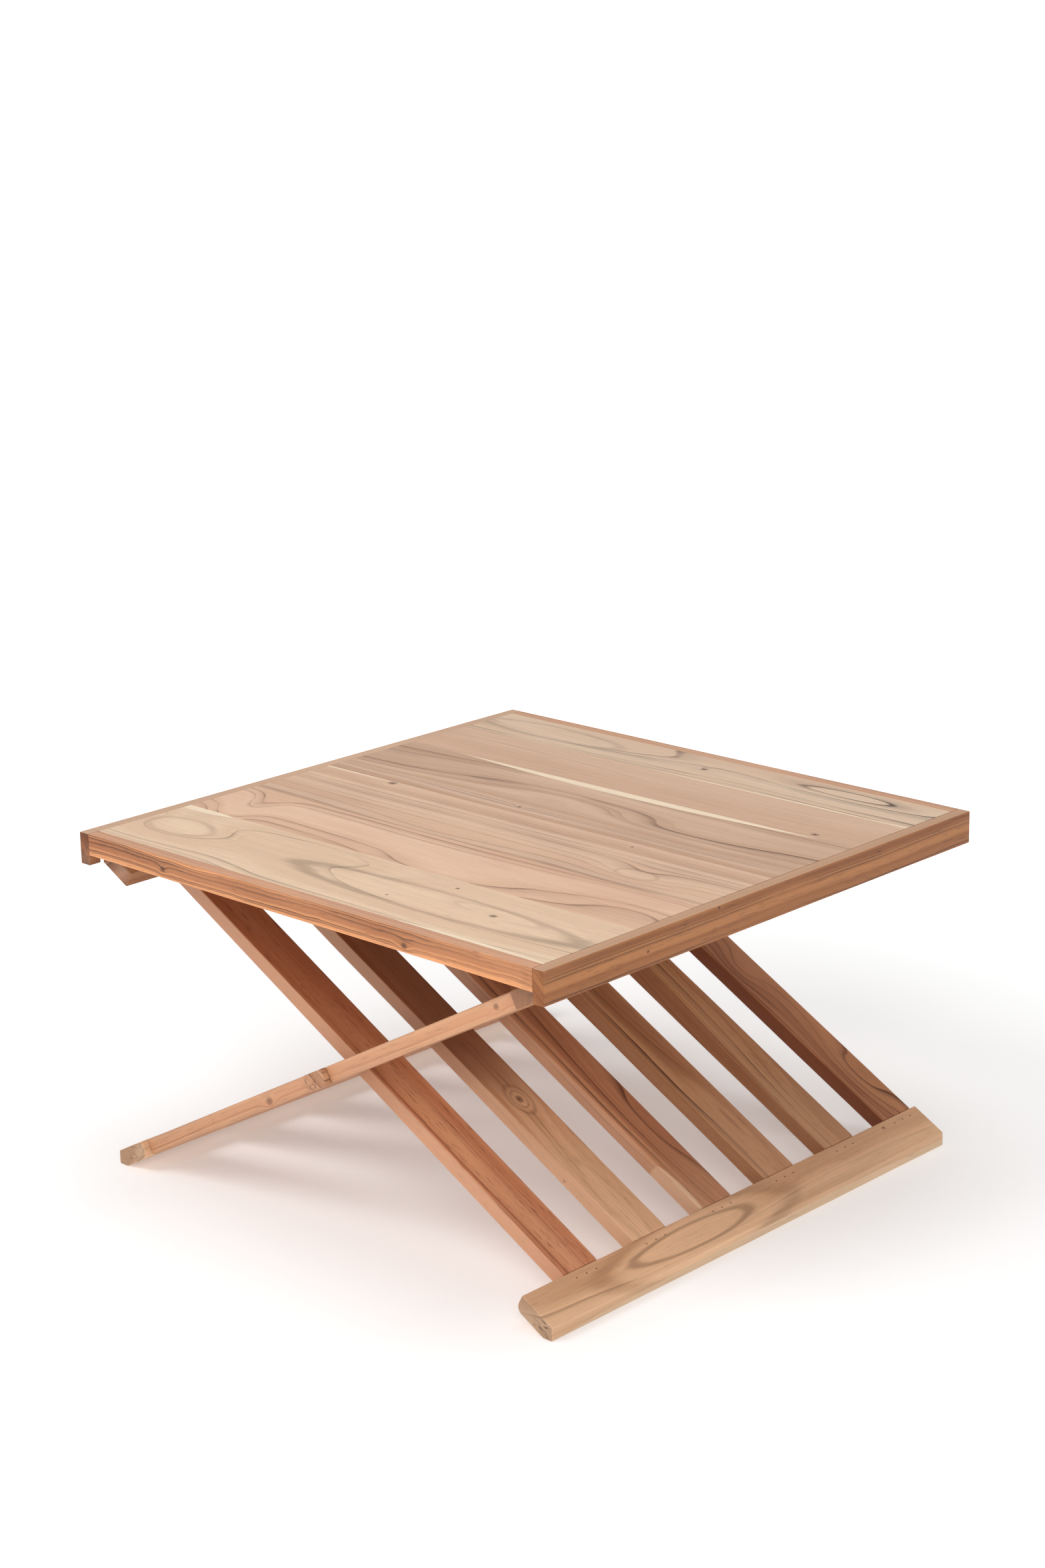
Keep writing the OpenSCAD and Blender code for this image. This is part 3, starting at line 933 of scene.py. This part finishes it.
FOOT = {  # what the crossing leg's foot bar changes
    "eyes": [(-80, 2, 140, 22, 16), (60, -16, 150, 14, -12), (182, 15, 24, 9, 10)],
    "ovals": [(-85, 0, 165, 34, 0.25), (-90, 3, 102, 15, 0.5)], "knots": [(262, 19, 2.5)],
    "sap": [(100, 500, -27, 5)],
}


def look_of(node):
    """The look of a wooden node, by its own name or by its kind."""
    if node in LOOKS:
        return LOOKS[node]
    kind = next(name for name in LOOKS if name in node)
    chosen = dict(LOOKS[kind])
    if kind == "crossing_slat":
        chosen.update(CROSSING[int(node.rsplit("_", 1)[1])])
    if node == "crossing_foot_bar":
        chosen.update(FOOT)
    return chosen


# ---- The table ----

PLANK_SEEDS = 3.7  # between the seeds of two planks' materials


def corners(obj):
    """Lowest and highest corner of the box around an object."""
    points = [obj.matrix_world @ vertex.co for vertex in obj.data.vertices]
    return zip(*(limits(points, k) for k in range(3)))


def dress(obj, material):
    """Gives an object one material in place of any it has."""
    obj.data.materials.clear()
    obj.data.materials.append(material)


def build_wood():
    """A plank for every wooden node but the dowels, which keep their shape."""
    cutter = groove_cutter()
    cut_low, cut_high = corners(cutter)
    slots = {part["node"]: part["material_slot"] for part in frame["record"]["subparts"]}
    wooden = [node for node in sorted(frame["nodes"]) if slots[node].endswith("wood")]
    for seed, node in enumerate(wooden):
        chosen = look_of(node)
        if node == "rail_dowels":
            dress(frame["nodes"][node], Wood("dowel_wood", chosen, seed).material)
            continue
        piece = plank(node, chosen, seed + 1)
        low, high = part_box(node)
        near = all(low[k] < cut_high[k] and high[k] > cut_low[k] for k in range(3))
        if near and "slat" not in node:
            carve(piece, cutter)
        dress(piece, Wood(node + "_wood", chosen, (seed + 1) * PLANK_SEEDS).material)
        flat = piece.modifiers.new("flat_faces", "WEIGHTED_NORMAL")
        flat.keep_sharp = True
        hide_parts(node)
        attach(piece, frame["nodes"][node]["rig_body"])
    bpy.data.objects.remove(cutter)


def finish_metal():
    """Gives each metal node its finish, by the ending of its name."""
    metals = {name: metal(name) for name in METALS}
    for node, obj in frame["nodes"].items():
        for ending, finish in FINISHES.items():
            if node.endswith(ending):
                dress(obj, metals[finish])


# ---- Studio ----

WHITE = (1, 1, 1, 1)
CAMERA = {  # degrees, metres and millimetres of lens
    "azimuth": 43.82, "pitch": 16.08, "roll": -1.10,
    "distance": 3.362, "right": -0.0072, "up": 0.2348,
    "lens": 67.86, "sensor": 36, "farthest": 200,
}
LAMPS = {  # place, aim, diameter and watts
    "key": ((-1.5, -2.6, 2.9), (0, 0, 0.2), 2.4, 68),
    "overhead": ((0.2, 0.4, 3.2), (0, 0, 0.3), 2.6, 46),
    "fill": ((2.6, -2.4, 2.2), (0, 0, 0.15), 1.8, 42),
}
FLOOR_HALF = 60
FLOOR_GREY = (0.86, 0.86, 0.86, 1)
FLOOR_ROUGHNESS = 0.9
FLOOR_GLOW = (0.5, 2.6, 0.25, 0.95)  # from and to a distance, from and to a strength
SKY = {"From Min": 0.12, "From Max": 0.45, "To Min": 0.97, "To Max": 0.19}  # height, strength


def camera():
    """Camera by its direction and distance from the middle of the table."""
    azimuth, pitch = math.radians(CAMERA["azimuth"]), math.radians(CAMERA["pitch"])
    forward = Vector((-math.sin(azimuth) * math.cos(pitch),
        math.cos(azimuth) * math.cos(pitch), -math.sin(pitch)))
    right = forward.cross(Vector((0, 0, 1))).normalized()
    right.rotate(Matrix.Rotation(math.radians(-CAMERA["roll"]), 3, forward))
    up = right.cross(forward)
    low, high = (Vector(corner) for corner in cad_box)
    target = (low + high) / 2 + right * CAMERA["right"] + up * CAMERA["up"]
    turn = Matrix((right, up, -forward)).transposed().to_4x4()
    data = bpy.data.cameras.new("camera")
    data.lens = CAMERA["lens"]
    data.sensor_width = CAMERA["sensor"]
    data.clip_end = CAMERA["farthest"]
    eye = placed("camera", data)
    eye.matrix_world = Matrix.Translation(target - forward * CAMERA["distance"]) @ turn
    bpy.context.scene.camera = eye


def softbox(name, place, aim, size, power):
    """A round soft light at a place, turned to an aim."""
    data = bpy.data.lights.new(name, "AREA")
    data.shape = "DISK"
    data.size = size
    data.energy = power
    turn = (Vector(aim) - Vector(place)).to_track_quat("-Z", "Y").to_matrix().to_4x4()
    placed(name, data).matrix_world = Matrix.Translation(place) @ turn


def pale_floor():
    """A wide floor that glows more with distance, so that it meets the sky without an edge."""
    mesh = bpy.data.meshes.new("floor")
    flat = [(x * FLOOR_HALF, y * FLOOR_HALF, 0) for x, y in ((-1, -1), (1, -1), (1, 1), (-1, 1))]
    mesh.from_pydata(flat, [], [(0, 1, 2, 3)])
    t = Tree("pale_floor")
    x, y, _ = t.split(t.nodes.new("ShaderNodeNewGeometry").outputs["Position"])
    away = t.math("SQRT", t.add(t.multiply(x, x), t.multiply(y, y)))
    t.shade(Base_Color=FLOOR_GREY, Roughness=FLOOR_ROUGHNESS, Emission_Color=WHITE,
        Emission_Strength=t.ramp(away, *FLOOR_GLOW))
    mesh.materials.append(t.material)
    placed("floor", mesh)


def sky():
    """A white sky, bright at the horizon and darker above."""
    world = bpy.data.worlds.new("studio")
    world.use_nodes = True
    nodes, links = world.node_tree.nodes, world.node_tree.links
    direction = nodes.new("ShaderNodeSeparateXYZ")
    links.new(nodes.new("ShaderNodeTexCoord").outputs["Generated"], direction.inputs[0])
    strength = nodes.new("ShaderNodeMapRange")
    strength.interpolation_type = "SMOOTHSTEP"
    for key, value in SKY.items():
        strength.inputs[key].default_value = value
    links.new(direction.outputs["Z"], strength.inputs["Value"])
    links.new(strength.outputs[0], nodes["Background"].inputs["Strength"])
    nodes["Background"].inputs["Color"].default_value = WHITE
    bpy.context.scene.world = world


camera()
build_wood()
finish_metal()
pale_floor()
sky()
for name, settings in LAMPS.items():
    softbox(name, *settings)
bpy.context.scene.view_settings.view_transform = "Standard"
